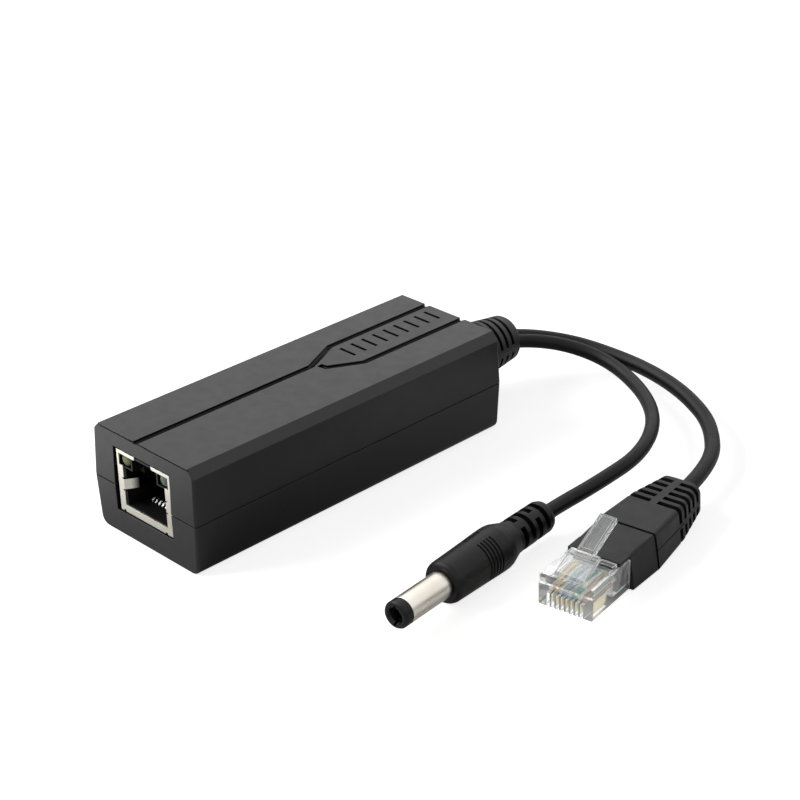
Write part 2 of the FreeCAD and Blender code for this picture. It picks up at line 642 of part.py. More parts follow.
plate = block(-BOOT_PLATE[0] / 2, BOOT_PLATE[0] / 2, boot_inner_y, plate_y,
              BOOT_Z - BOOT_PLATE[1] / 2, BOOT_Z + BOOT_PLATE[1] / 2)
plate = plate.makeFillet(1.5, [e for e in plate.Edges if e.BoundBox.YLength > 1])
boot = fused([boot, plate])
core = revolved(boot_core, V(0, 0, BOOT_Z), AHEAD)
boot_slots = [BOOT_END - 3.1 - BOOT_SLOT_PITCH * i for i in range(6)]
boot = slotted(boot, core, boot_slots, 0.9, [[spine(0, 1.7, 12, boot_rear, BOOT_END, BOOT_Z)]])
boot = boot.cut(top_shell).cut(bottom_shell)
for cord in cords.values():
    boot = boot.cut(cord)
save("cable_boot", boot)


# Power plug

r = BARREL_R
bore = 1.45
seat_end = BARREL_OUT + NECK_LONG
wall_end = BARREL_OUT - BARREL_ROOT
seat_r = r - BARREL_WALL
neck_r = r - NECK_DROP
neck_seat_r = neck_r - NECK_WALL
insulator = revolved([(0.5, bore), (0, bore + 0.3), (0, r - 0.5), (0.15, r - 0.2), (0.5, r),
                      (TIP_RING, r), (TIP_RING, seat_r), (wall_end - NECK_WALL, seat_r),
                      (wall_end - NECK_WALL, neck_seat_r), (seat_end - 2, neck_seat_r), (seat_end - 2, bore)],
                     V(0, 0, 0), AHEAD)
insulator = insulator.cut(block(-0.3, 0.3, -1, 1.3, -r + 0.6, r - 0.6))
save("power_plug_insulator", placed(insulator, POWER_PLUG_POSE))
sleeve = revolved([(TIP_RING, seat_r), (TIP_RING, r - 0.12), (TIP_RING + 0.12, r), (wall_end, r),
                   (wall_end, neck_r), (seat_end, neck_r), (seat_end, neck_seat_r),
                   (wall_end - NECK_WALL, neck_seat_r), (wall_end - NECK_WALL, seat_r)],
                  V(0, 0, 0), AHEAD)
save("power_plug_barrel", placed(sleeve, POWER_PLUG_POSE))
pin_tube = revolved([(2.6, PIN_BORE_R + 0.2), (2.6, bore), (seat_end + 1, bore), (seat_end + 1, 0),
                     (11.5, 0), (11.5, PIN_BORE_R), (2.8, PIN_BORE_R)], V(0, 0, 0), AHEAD)
save("power_plug_contact", placed(pin_tube, POWER_PLUG_POSE))

grip_end = POWER_PLUG_LONG
tail = grip_end - 11.8
grip_profile = [(BARREL_OUT, 0), (BARREL_OUT, 3.6), (BARREL_OUT + 0.2, 3.95), (BARREL_OUT + 0.6, 4.2),
                (BARREL_OUT + 1.1, 4.33), (tail - 10.2, 4.55), (tail - 5.7, POWER_PLUG_R),
                (tail - 3.9, POWER_PLUG_R), (tail - 2.9, 4.55), (tail, 3.6), (tail + 0.5, 3.48),
                (grip_end - 1.2, 3.35), (grip_end - 0.4, 3.1), (grip_end, 2.6), (grip_end, 0)]
grip = revolved(grip_profile, V(0, 0, 0), AHEAD)
band_core = revolved([(tail - 15, 0), (tail - 15, 4.15), (tail - 10.2, 4.27), (tail - 5.7, 4.42),
                      (tail - 5.7, 0)], V(0, 0, 0), AHEAD)
grip = slotted(grip, band_core, [tail - 10.6 + 0.87 * i for i in range(5)], 0.4,
               [[spine(90, 2.2, 8, tail - 14, tail)]])
tail_core = cylinder(2.3, grip_end, V(0, 0, 0), AHEAD)
tail_webs = [[spine(a, 1.7, 8, tail - 2, grip_end)] for a in (-64, 26)]
grip = slotted(grip, tail_core, [tail + 1.9 + 2.34 * i for i in range(4)], 1.35, tail_webs)
for inner in (insulator, sleeve, pin_tube):
    grip = grip.cut(inner)
grip = placed(grip, POWER_PLUG_POSE).cut(cords["power_cord"])
save("power_plug_grip", grip)


# Modular plug

def boot_section(y, base, top, low, high, corner):
    """Closed outline across the plug, narrower at the top, with round corners."""
    corners = [V(-base, y, low), V(base, y, low), V(top, y, high), V(-top, y, high)]
    edges = []
    count = len(corners)
    cuts = []
    for i, point in enumerate(corners):
        before = corners[i - 1] - point
        after = corners[(i + 1) % count] - point
        before.normalize()
        after.normalize()
        half = before.getAngle(after) / 2
        reach = corner / math.tan(half)
        inward = before + after
        inward.normalize()
        middle = point + inward * (corner / math.sin(half) - corner)
        cuts.append((point + before * reach, middle, point + after * reach))
    for i, (enter, middle, leave) in enumerate(cuts):
        edges.append(Part.Arc(enter, middle, leave).toShape())
        edges.append(Part.LineSegment(leave, cuts[(i + 1) % count][0]).toShape())
    return Part.Wire(edges)


def lofted(sections):
    return Part.makeLoft([boot_section(*section) for section in sections], True, True)


step = MOD_STEP_Y
mid = MOD_BOOT_END - 10.6
last = MOD_BOOT_END - 1.2
nose_back = MOD_LONG + 0.6
nose = lofted([(MOD_NOSE_Y, 4.4, 4.3, 1.0, 5.6, 0.3), (nose_back, 4.4, 4.3, 1.0, 5.6, 0.3)])
top_tongue = block(-5.6, 5.6, MOD_NOSE_Y, nose_back, MOD_TALL, 7.35)
front_part = lofted([(MOD_LONG, 7.0, 5.6, 0.05, 7.35, 0.5), (step, 7.35, 5.95, 0.0, 7.6, 0.55)])
neck_part = lofted([(step - 0.1, 6.9, 5.5, 0.5, 7.1, 0.5), (step + 0.4, 6.9, 5.5, 0.5, 7.1, 0.5)])
rear_part = lofted([(step + 0.3, 7.5, 6.15, 0.0, 7.8, 0.7), (mid, 6.6, 5.6, 0.2, 7.9, 1.2),
                    (last, 4.8, 4.4, 0.5, 7.7, 2.0)])
end_part = lofted([(last, 4.8, 4.4, 0.5, 7.7, 2.0), (MOD_BOOT_END, 3.9, 3.5, 1.2, 7.0, 1.7)])
mod_boot = fused([nose, top_tongue, front_part, neck_part, rear_part, end_part])
mod_core = lofted([(mid - 5, 5.0, 4.4, 1.4, 6.6, 1.0), (MOD_BOOT_END + 1, 3.0, 2.8, 1.7, 6.5, 1.3)])
top_spine = block(-0.8, 0.8, mid - 5, MOD_BOOT_END, -1, 12)
mid_spine = block(-9, 9, mid - 5, MOD_BOOT_END, 3.8, 4.7)
mod_slots = [mid - 1.3 + 2.25 * i for i in range(5)]
mod_boot = slotted(mod_boot, mod_core, mod_slots, 1.25, [[top_spine, mid_spine]])

mod_body = block(-MOD_HALF, MOD_HALF, 0, nose_back, 0, MOD_TALL)
mod_body = mod_body.makeFillet(0.35, [e for e in mod_body.Edges
                                      if e.BoundBox.YLength > 5 or e.BoundBox.YMax < 0.01])
latch_path = [(1.3, MOD_TALL - 0.2), (2.2, MOD_TALL + 0.5), (7.2, MOD_TALL + 2.6)]
latch = strip(latch_path, 1.0, 6.2, V(0, 0, 0), AHEAD, UP)
tongue_path = [(6.0, MOD_TALL + 2.15), (9.5, MOD_TALL + 3.8), (15.3, MOD_TALL + 6.3)]
tongue = strip(tongue_path, 1.15, 3.5, V(0, 0, 0), AHEAD, UP)
dish_path = [(a, b + 0.6) for a, b in tongue_path]
dish_path = [(7.6, dish_path[0][1] + 0.75), dish_path[1], (14.7, dish_path[2][1] - 0.26)]
dish = strip(dish_path, 0.7, 2.5, V(0, 0, 0), AHEAD, UP)
stop_rib = block(-5.0, 5.0, MOD_NOSE_Y - 1.5, MOD_NOSE_Y - 0.1, MOD_TALL - 0.1, MOD_TALL + 0.65)
mod_body = fused([mod_body, stop_rib, latch, tongue]).cut(dish)
wire_z = 3.65
wire_d = 0.96
hollows = [
    block(-4.4, 4.4, 8.2, nose_back + 1, 1.0, 5.6),
    block(-MOD_HALF - 1, MOD_HALF + 1, -1, 0.5, 4.75, MOD_TALL + 1),
]
for i in range(CONTACT_COUNT):
    x = (i - (CONTACT_COUNT - 1) / 2) * CONTACT_PITCH
    hollows.append(block(x - 0.29, x + 0.29, -1, 6.3, -1, 3.1))
    hollows.append(block(x - 0.17, x + 0.17, 3.0, 4.2, 3.0, wire_z))
    hollows.append(cylinder(wire_d / 2, MOD_NOSE_Y - 1.6, V(x, 1.6, wire_z), AHEAD))
for hollow in hollows:
    mod_body = mod_body.cut(hollow)
mod_body = mod_body.cut(mod_boot)
save("data_plug_body", placed(mod_body, MOD_PLUG_POSE))

blades, wires = [], []
for i in range(CONTACT_COUNT):
    x = (i - (CONTACT_COUNT - 1) / 2) * CONTACT_PITCH
    low = 0.55
    high = wire_z - wire_d / 2
    outline = [V(x - 0.17, 1.0, low + 0.3), V(x - 0.17, 1.3, low), V(x - 0.17, 5.6, low),
               V(x - 0.17, 6.3, low + 0.9), V(x - 0.17, 6.3, 2.6), V(x - 0.17, 5.6, 3.1),
               V(x - 0.17, 1.5, 3.1), V(x - 0.17, 1.0, 2.6)]
    blade = prism(outline, V(0.34, 0, 0))
    blade = fused([blade, block(x - 0.17, x + 0.17, 3.0, 4.2, 2.9, high + 0.3)])
    wire = cylinder(wire_d / 2, MOD_NOSE_Y - 1.6, V(x, 1.6, wire_z), AHEAD)
    blades.append(blade.cut(wire))
    wires.append(wire)
save("data_plug_blades", [placed(blade, MOD_PLUG_POSE) for blade in blades])
save("data_plug_wires", [placed(wire, MOD_PLUG_POSE) for wire in wires])
mod_boot = placed(mod_boot, MOD_PLUG_POSE).cut(cords["data_cord"])
save("data_plug_boot", mod_boot)
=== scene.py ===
import bpy
import math
from mathutils import Matrix, Vector


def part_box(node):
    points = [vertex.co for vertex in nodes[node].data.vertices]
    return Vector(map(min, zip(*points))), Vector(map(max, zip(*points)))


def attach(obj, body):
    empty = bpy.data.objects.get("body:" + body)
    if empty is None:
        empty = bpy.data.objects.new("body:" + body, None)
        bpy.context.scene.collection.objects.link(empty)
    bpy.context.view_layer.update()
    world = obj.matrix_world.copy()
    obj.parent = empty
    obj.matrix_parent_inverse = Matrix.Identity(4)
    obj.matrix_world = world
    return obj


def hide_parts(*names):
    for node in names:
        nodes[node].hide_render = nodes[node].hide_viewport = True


# Dressed view of the Power-over-Ethernet splitter. Lengths are in metres.

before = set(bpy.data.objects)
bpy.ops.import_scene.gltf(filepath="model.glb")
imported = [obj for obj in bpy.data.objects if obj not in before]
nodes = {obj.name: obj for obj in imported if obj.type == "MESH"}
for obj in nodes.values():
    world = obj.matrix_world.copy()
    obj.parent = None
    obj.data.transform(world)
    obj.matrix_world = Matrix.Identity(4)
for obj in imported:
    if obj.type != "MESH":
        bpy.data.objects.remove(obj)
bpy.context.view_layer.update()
MM = 0.001
MICRON = 1e-6


# Camera, fitted to the photograph's 800 x 800 frame

FRAME_PX = 800
FOCAL_PX = 1945.06
CENTRE_PX = (438.52, 414.41)
SENSOR_WIDE = 36    # in millimetres, as Blender's lens is
AIM = Vector((17.448, 20.912, 12.0)) * MM
DISTANCE = 400.4 * MM
AZIMUTH = math.radians(44.702)
ELEVATION = math.radians(27.582)
ROLL = math.radians(-0.643)
CLIP_START = 10 * MM


def add_camera():
    back = Vector((math.sin(AZIMUTH) * math.cos(ELEVATION),
                   -math.cos(AZIMUTH) * math.cos(ELEVATION),
                   math.sin(ELEVATION)))
    level = Vector((math.cos(AZIMUTH), math.sin(AZIMUTH), 0))
    upright = back.cross(level)
    right = level * math.cos(ROLL) + upright * math.sin(ROLL)
    up = back.cross(right)
    data = bpy.data.cameras.new("camera")
    data.sensor_width = SENSOR_WIDE
    data.lens = FOCAL_PX / FRAME_PX * SENSOR_WIDE
    data.shift_x = (FRAME_PX / 2 - CENTRE_PX[0]) / FRAME_PX
    data.shift_y = (CENTRE_PX[1] - FRAME_PX / 2) / FRAME_PX
    data.clip_start = CLIP_START
    camera = bpy.data.objects.new("camera", data)
    bpy.context.collection.objects.link(camera)
    turn = Matrix((right, up, back)).transposed().to_4x4()
    camera.matrix_world = Matrix.Translation(AIM + back * DISTANCE) @ turn
    bpy.context.scene.camera = camera


add_camera()


# Cords, on the same routes as their solids; routes are in millimetres

POWER_CORD_D = 3.1 * MM
DATA_CORD_D = 3.3 * MM
POWER_ROUTE = [(0.5, 52.2, 11.0), (2.1, 59.7, 10.75), (9.7, 70.5, 8.4), (22.7, 73.1, 6.1),
               (42.0, 62.1, 6.3), (52.4, 45.5, 6.7), (52.3, 29.7, 5.3), (51.72, 17.67, 4.7),
               (52.59, 8.71, 4.7)]
DATA_ROUTE = [(-3.2, 52.2, 11.2), (-1.1, 61.9, 10.2), (7.3, 73.4, 7.5), (21.0, 76.6, 6.2),
              (33.3, 74.4, 6.7), (43.7, 71.4, 6.1), (53.5, 66.4, 4.8), (63.59, 53.46, 4.2),
              (66.25, 37.58, 4.2)]
CURVE_STEPS = 16
ROUND_STEPS = 8
# A point's radius also widens the curve's box, so it is small and the bevel makes up for it
POINT_R = 0.001


def add_cord(name, route, diameter, solid):
    curve = bpy.data.curves.new(name, "CURVE")
    curve.dimensions = "3D"
    spline = curve.splines.new("NURBS")
    spline.points.add(len(route) - 1)
    for point, spot in zip(spline.points, route):
        point.co = (*[c * MM for c in spot], 1)
        point.radius = POINT_R
    spline.order_u = 3
    spline.use_endpoint_u = True
    spline.resolution_u = CURVE_STEPS
    curve.bevel_depth = diameter / 2 / POINT_R
    curve.bevel_resolution = ROUND_STEPS
    curve.use_fill_caps = True
    piece = bpy.data.objects.new(name, curve)
    bpy.context.collection.objects.link(piece)
    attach(piece, "root")
    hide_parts(solid)
    return piece


power_cord = add_cord("power_lead_jacket", POWER_ROUTE, POWER_CORD_D,
                      "power_cord")
data_cord = add_cord("data_lead_jacket", DATA_ROUTE, DATA_CORD_D,
                     "data_cord")


# Shader building blocks; an input is a socket or a constant

NOISE_RANGE = (0.3, 0.7)    # where most of a noise lies
EDGE_SAMPLES = 6


def new_material(name):
    material = bpy.data.materials.new(name)
    material.use_nodes = True
    tree = material.node_tree
    return material, tree, find(tree, "BSDF_PRINCIPLED")


def find(tree, kind):
    return next(node for node in tree.nodes if node.type == kind)


def feed(tree, socket, value):
    if isinstance(value, bpy.types.NodeSocket):
        tree.links.new(value, socket)
    else:
        socket.default_value = value


def place(tree):
    """Object coordinates, which are the part's own frame."""
    return tree.nodes.new("ShaderNodeTexCoord").outputs["Object"]


def math_node(tree, operation, first, second):
    node = tree.nodes.new("ShaderNodeMath")
    node.operation = operation
    feed(tree, node.inputs[0], first)
    feed(tree, node.inputs[1], second)
    return node.outputs[0]


def dot(tree, first, second):
    node = tree.nodes.new("ShaderNodeVectorMath")
    node.operation = "DOT_PRODUCT"
    feed(tree, node.inputs[0], first)
    feed(tree, node.inputs[1], second)
    return node.outputs["Value"]


def map_range(tree, value, start, end, low=0.0, high=1.0, kind="LINEAR"):
    node = tree.nodes.new("ShaderNodeMapRange")
    node.interpolation_type = kind
    feed(tree, node.inputs["Value"], value)
    for name, number in (("From Min", start), ("From Max", end), ("To Min", low), ("To Max", high)):
        node.inputs[name].default_value = number
    return node.outputs["Result"]


def slope(tree, source, along, start, end, low=0.0, high=1.0):
    """Smooth change from low to high as the distance along a direction goes from start to end."""
    return map_range(tree, dot(tree, source, along), start, end, low, high, "SMOOTHSTEP")


def band(tree, source, along, rise, fall):
    """1 between two soft edges, each a pair of distances along a direction, and 0 outside them."""
    back = [-c for c in along]
    return math_node(tree, "MULTIPLY", slope(tree, source, along, *rise),
                     slope(tree, source, back, -fall[1], -fall[0]))


def noise(tree, scale, detail=3.0, stretch=None):
    """Noise whose scale counts features per metre."""
    texture = tree.nodes.new("ShaderNodeTexNoise")
    texture.inputs["Scale"].default_value = scale
    texture.inputs["Detail"].default_value = detail
    vector = place(tree)
    if stretch:
        mapping = tree.nodes.new("ShaderNodeMapping")
        mapping.inputs["Scale"].default_value = stretch
        tree.links.new(vector, mapping.inputs["Vector"])
        vector = mapping.outputs["Vector"]
    tree.links.new(vector, texture.inputs["Vector"])
    return texture.outputs["Fac"]


def spread(tree, value, low, high):
    """Most of a noise, mapped onto low to high."""
    return map_range(tree, value, *NOISE_RANGE, low, high)


def shade_between(tree, share, first, second):
    node = tree.nodes.new("ShaderNodeMix")
    node.data_type = "RGBA"
    feed(tree, node.inputs["Factor"], share)
    feed(tree, node.inputs["A"], first)
    feed(tree, node.inputs["B"], second)
    return node.outputs["Result"]


def mix_shaders(tree, share, first, second):
    node = tree.nodes.new("ShaderNodeMixShader")
    feed(tree, node.inputs["Fac"], share)
    tree.links.new(first, node.inputs[1])
    tree.links.new(second, node.inputs[2])
    return node.outputs[0]


def rounded_normal(tree, radius, samples):
    node = tree.nodes.new("ShaderNodeBevel")
    node.samples = samples
    node.inputs["Radius"].default_value = radius
    return node.outputs["Normal"]


def relief(tree, shader, value, depth, edge=0.0):
    """Bump of the given depth over an optional softened edge."""
    bump = tree.nodes.new("ShaderNodeBump")
    bump.inputs["Strength"].default_value = 1.0
    bump.inputs["Distance"].default_value = depth
    tree.links.new(value, bump.inputs["Height"])
    if edge:
        tree.links.new(rounded_normal(tree, edge, EDGE_SAMPLES), bump.inputs["Normal"])
    tree.links.new(bump.outputs["Normal"], shader.inputs["Normal"])


def colour(tone):
    return (*tone, 1)


def fade_tone(material, share, deep):
    """Turn the colour towards a deep one by a share that varies over the surface."""
    tree = material.node_tree
    base = find(tree, "BSDF_PRINCIPLED").inputs["Base Color"]
    tone = base.links[0].from_socket
    tree.links.new(shade_between(tree, share, tone, colour(deep)), base)


def fade_gloss(material, share):
    """Take gloss away by a share that varies over the surface."""
    tree = material.node_tree
    gloss = find(tree, "BSDF_PRINCIPLED").inputs["Specular IOR Level"]
    shine = gloss.default_value
    loss = math_node(tree, "MULTIPLY", share, -shine)
    tree.links.new(math_node(tree, "ADD", loss, shine), gloss)


# Kinds of material

PLASTIC_BLOTCH = 90
GLOSS_BLOTCH = 360
GLOSS_CHANGE = 0.05
METAL_BLOTCH = 160
HAZE = 500
HAZE_DEPTH = 4 * MICRON
HAZE_LIFT = 1.04
CLEAR_IOR = 1.42


def moulded(name, dark, light, roughness, grain=2200, depth=6 * MICRON, edge=0.0, shine=0.5):
    """Moulded plastic or rubber: fine grain, faint tone and gloss changes."""
    material, tree, shader = new_material(name)
    shader.inputs["Specular IOR Level"].default_value = shine
    tone = spread(tree, noise(tree, PLASTIC_BLOTCH, 5), 0, 1)
    tree.links.new(shade_between(tree, tone, colour(dark), colour(light)),
                   shader.inputs["Base Color"])
    gloss = spread(tree, noise(tree, GLOSS_BLOTCH, 4),
                   roughness - GLOSS_CHANGE, roughness + GLOSS_CHANGE)
    tree.links.new(gloss, shader.inputs["Roughness"])
    relief(tree, shader, noise(tree, grain, 2), depth, edge)
    return material


def metal(name, dark, light, roughness, grain, stretch=(1, 1, 1), depth=2 * MICRON, edge=0.0):
    """Plated metal with fine drawn or rolled lines."""
    material, tree, shader = new_material(name)
    shader.inputs["Metallic"].default_value = 1.0
    tone = spread(tree, noise(tree, METAL_BLOTCH, 4), 0, 1)
    tree.links.new(shade_between(tree, tone, colour(dark), colour(light)),
                   shader.inputs["Base Color"])
    lines = noise(tree, grain, 4, stretch)
    tree.links.new(spread(tree, lines, roughness - 0.06, roughness + 0.08),
                   shader.inputs["Roughness"])
    relief(tree, shader, lines, depth, edge)
    return material


def see_through(name, tint, roughness, clear=1.0):
    """Clear plastic with a faint haze."""
    material, tree, shader = new_material(name)
    shader.inputs["Transmission Weight"].default_value = clear
    shader.inputs["IOR"].default_value = CLEAR_IOR
    haze = noise(tree, HAZE, 3)
    lifted = [min(1, c * HAZE_LIFT) for c in tint]
    tree.links.new(shade_between(tree, spread(tree, haze, 0, 1), colour(tint), colour(lifted)),
                   shader.inputs["Base Color"])
    tree.links.new(spread(tree, haze, roughness, roughness + 0.04), shader.inputs["Roughness"])
    relief(tree, shader, haze, HAZE_DEPTH)
    return material


def dress(material, *names):
    for name in names:
        mesh = nodes[name].data
        mesh.materials.clear()
        mesh.materials.append(material)


# Case: the engraved bars on the lid have no gloss inside, so they read as dark

CASE_DARK = (0.0035, 0.0035, 0.0038)
CASE_LIGHT = (0.0055, 0.0055, 0.0060)
CASE_ROUGHNESS = 0.34
CASE_SHINE = 0.50
CASE_EDGE = 0.20 * MM
BARS_LEFT = (-4.2 * MM, -4.0 * MM)
BARS_RIGHT = (1.5 * MM, 1.7 * MM)
BARS_FLOOR = (0.34 * MM, 0.30 * MM)     # below the lid's top
BARS_MOUTH = (0.10 * MM, 0.03 * MM)


def dull_bars(material):
    tree = material.node_tree
    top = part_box("top_shell")[1][2]
    spot = place(tree)
    sunk = band(tree, spot, (0, 0, 1), [top - c for c in BARS_FLOOR], [top - c for c in BARS_MOUTH])
    beside = band(tree, spot, (1, 0, 0), BARS_LEFT, BARS_RIGHT)
    fade_gloss(material, math_node(tree, "MULTIPLY", sunk, beside))


case_plastic = moulded("case_black", CASE_DARK, CASE_LIGHT, CASE_ROUGHNESS,
                       edge=CASE_EDGE, shine=CASE_SHINE)
dress(case_plastic, "bottom_shell")
lid_plastic = moulded("lid_black", CASE_DARK, CASE_LIGHT, CASE_ROUGHNESS,
                      edge=CASE_EDGE, shine=CASE_SHINE)
dull_bars(lid_plastic)
dress(lid_plastic, "top_shell")


# Network jack: painted shade darkens its metals with the depth in the socket

CONTACT_SHADE_DEPTHS = (0.6 * MM, 1.0 * MM)
CONTACT_PAINTED_SHADE = (0.03, 0.025, 0.015)
SHIELD_SHADE_DEPTHS = (1.0 * MM, 2.6 * MM)
SHIELD_PAINTED_SHADE = (0.08, 0.075, 0.065)


def dress_with_depth_shade(material, name, fade, deep):
    """Paint shade onto a metal: fade it to a dark tone between two depths behind the node's front.
    """
    tree = material.node_tree
    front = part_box(name)[0][1]
    share = slope(tree, place(tree), (0, 1, 0), front + fade[0], front + fade[1])
    fade_tone(material, share, deep)
    dress(material, name)


dress(moulded("jack_black", (0.004, 0.004, 0.004), (0.006, 0.006, 0.006), 0.45, shine=0.3),
      "jack_housing", "transformer_bobbin")
dress_with_depth_shade(metal("contact_pale", (0.97, 0.96, 0.92), (0.99, 0.99, 0.97), 0.42, 1500),
               "jack_contacts", CONTACT_SHADE_DEPTHS, CONTACT_PAINTED_SHADE)
dress_with_depth_shade(metal("shield_nickel", (0.78, 0.75, 0.66), (0.86, 0.83, 0.74), 0.30, 900,
                     depth=3 * MICRON, edge=0.08 * MM),
               "jack_shield", SHIELD_SHADE_DEPTHS, SHIELD_PAINTED_SHADE)
dress(see_through("lens_yellow", (0.38, 0.40, 0.18), 0.25, 0.6), "jack_lamp_left")
dress(see_through("lens_green", (0.20, 0.29, 0.24), 0.25, 0.6), "jack_lamp_right")


# Cords, their boot and the power plug

cord_jacket = moulded("cord_black", (0.0030, 0.0030, 0.0032), (0.0050, 0.0050, 0.0053), 0.40,
                      grain=1500, depth=8 * MICRON, shine=0.22)
for piece in (power_cord, data_cord):
    piece.data.materials.append(cord_jacket)
dress(moulded("boot_black", (0.0080, 0.0080, 0.0084), (0.0120, 0.0120, 0.0126), 0.44,
              grain=1800, depth=12 * MICRON, edge=0.15 * MM, shine=0.5), "cable_boot")
dress(moulded("grip_black", (0.0025, 0.0025, 0.0027), (0.0045, 0.0045, 0.0048), 0.40,
              grain=1800, depth=16 * MICRON, edge=0.15 * MM, shine=0.28), "power_plug_grip")
dress(moulded("tip_black", (0.0030, 0.0030, 0.0030), (0.0050, 0.0050, 0.0050), 0.34,
              edge=0.10 * MM, shine=0.28), "power_plug_insulator")
dress(metal("barrel_nickel", (0.80, 0.75, 0.66), (0.90, 0.86, 0.78), 0.30, 1200,
            stretch=(1, 0.12, 1)), "power_plug_barrel", "power_plug_contact")


# Network plug: a boot with a fine moulding seam, and a clear body with painted highlights along its
# edges

DATA_PLUG_TURN = math.radians(9.5)
DATA_PLUG_NOSE = Vector((73.05, -3.05, 0)) * MM
PLUG_ALONG = Vector((-math.sin(DATA_PLUG_TURN), math.cos(DATA_PLUG_TURN), 0))
PLUG_ACROSS = Vector((math.cos(DATA_PLUG_TURN), math.sin(DATA_PLUG_TURN), 0))
SEAM_HEIGHT = 4.25 * MM
SEAM_WIDE = 0.12 * MM
SEAM_FROM_NOSE = 22.1 * MM
SEAM_START_SOFT = 0.05 * MM
SEAM_TONE = (0.0005, 0.0005, 0.0005)
MILK_TONE = (0.95, 0.96, 0.96)
MILK_FACING = 0.068
MILK_GRAZING = 0.17
MILK_BLEND = 0.35
# White scatter along the plug's edges is a painted highlight
WHITE_EDGE = 0.22 * MM
WHITE_EDGE_SHARE = 0.80
WHITE_EDGE_TURN = (1.0, 0.85)    # dot of the true and the rounded normal
WHITE_EDGE_SAMPLES = 16


def add_seam(material):
    """Fine dark line at one height, past a distance along the plug."""
    tree = material.node_tree
    spot = place(tree)
    line = band(tree, spot, (0, 0, 1), (SEAM_HEIGHT - SEAM_WIDE, SEAM_HEIGHT - SEAM_WIDE / 2),
                (SEAM_HEIGHT + SEAM_WIDE / 2, SEAM_HEIGHT + SEAM_WIDE))
    start = DATA_PLUG_NOSE.dot(PLUG_ALONG) + SEAM_FROM_NOSE
    past = slope(tree, spot, PLUG_ALONG, start, start + SEAM_START_SOFT)
    share = math_node(tree, "MULTIPLY", line, past)
    fade_tone(material, share, SEAM_TONE)
    fade_gloss(material, share)


def painted_edge_highlights(tree):
    """Painted highlight: rises along every edge, where a rounded normal leaves the true one."""
    true_normal = tree.nodes.new("ShaderNodeNewGeometry").outputs["Normal"]
    turn = dot(tree, rounded_normal(tree, WHITE_EDGE, WHITE_EDGE_SAMPLES), true_normal)
    return map_range(tree, turn, *WHITE_EDGE_TURN, 0.0, WHITE_EDGE_SHARE)


def add_milk(material):
    """Mix soft white scatter into a clear plastic, more of it at grazing angles, and as painted
    highlights on edges.
    """
    tree = material.node_tree
    scatter = []
    for kind in ("ShaderNodeBsdfDiffuse", "ShaderNodeBsdfTranslucent"):
        node = tree.nodes.new(kind)
        node.inputs["Color"].default_value = colour(MILK_TONE)
        scatter.append(node.outputs[0])
    milk = mix_shaders(tree, 0.5, *scatter)
    layer = tree.nodes.new("ShaderNodeLayerWeight")
    layer.inputs["Blend"].default_value = MILK_BLEND
    amount = math_node(tree, "MULTIPLY", layer.outputs["Facing"], MILK_GRAZING)
    amount = math_node(tree, "ADD", amount, MILK_FACING)
    amount = math_node(tree, "MAXIMUM", amount, painted_edge_highlights(tree))
    clear = find(tree, "BSDF_PRINCIPLED").outputs[0]
    tree.links.new(mix_shaders(tree, amount, clear, milk),
                   find(tree, "OUTPUT_MATERIAL").inputs["Surface"])


plug_boot_rubber = moulded("plug_boot_black", (0.0050, 0.0050, 0.0053), (0.0080, 0.0080, 0.0085),
                           0.44, grain=1800, depth=8 * MICRON, edge=0.15 * MM, shine=0.32)
add_seam(plug_boot_rubber)
dress(plug_boot_rubber, "data_plug_boot")
clear_plastic = see_through("plug_clear", (0.99, 0.995, 0.995), 0.03)
add_milk(clear_plastic)
dress(clear_plastic, "data_plug_body")
dress(metal("blade_gold", (0.93, 0.80, 0.50), (0.98, 0.88, 0.62), 0.30, 1500), "data_plug_blades")


# Board and the parts on it

dress(moulded("board_green", (0.010, 0.060, 0.022), (0.016, 0.085, 0.032), 0.35), "circuit_board")
dress(moulded("chip_epoxy", (0.012, 0.012, 0.013), (0.018, 0.018, 0.019), 0.6),
      "line_transformer", "bridge_rectifiers", "controller_chip")
dress(metal("tinned_lead", (0.62, 0.62, 0.60), (0.75, 0.75, 0.73), 0.35, 1200),
      "line_transformer_leads", "bridge_rectifier_leads", "controller_chip_leads",
      "transformer_feet")
dress(moulded("ferrite_grey", (0.030, 0.030, 0.033), (0.050, 0.050, 0.054), 0.7,
              depth=20 * MICRON), "transformer_core", "output_choke")
dress(metal("winding_copper", (0.45, 0.17, 0.06), (0.65, 0.28, 0.10), 0.3, 3000,
            stretch=(0.05, 0.05, 1), depth=20 * MICRON), "transformer_winding")
dress(moulded("capacitor_sleeve", (0.010, 0.014, 0.035), (0.016, 0.020, 0.050), 0.3),
      "input_capacitor", "output_capacitors")
dress(moulded("chip_ceramic", (0.20, 0.13, 0.08), (0.32, 0.22, 0.14), 0.4), "chip_passives")


# Wires, one insulation colour after another across each row

WIRE_COLOURS = [(0.90, 0.84, 0.72), (0.90, 0.66, 0.30), (0.78, 0.88, 0.82), (0.42, 0.56, 0.72),
                (0.84, 0.88, 0.90), (0.30, 0.66, 0.56), (0.88, 0.85, 0.80), (0.60, 0.48, 0.38)]
PLUG_WIRE_PITCH = 1.02 * MM
CASE_WIRE_PITCH = 1.3 * MM
WIRE_GRAIN = 900


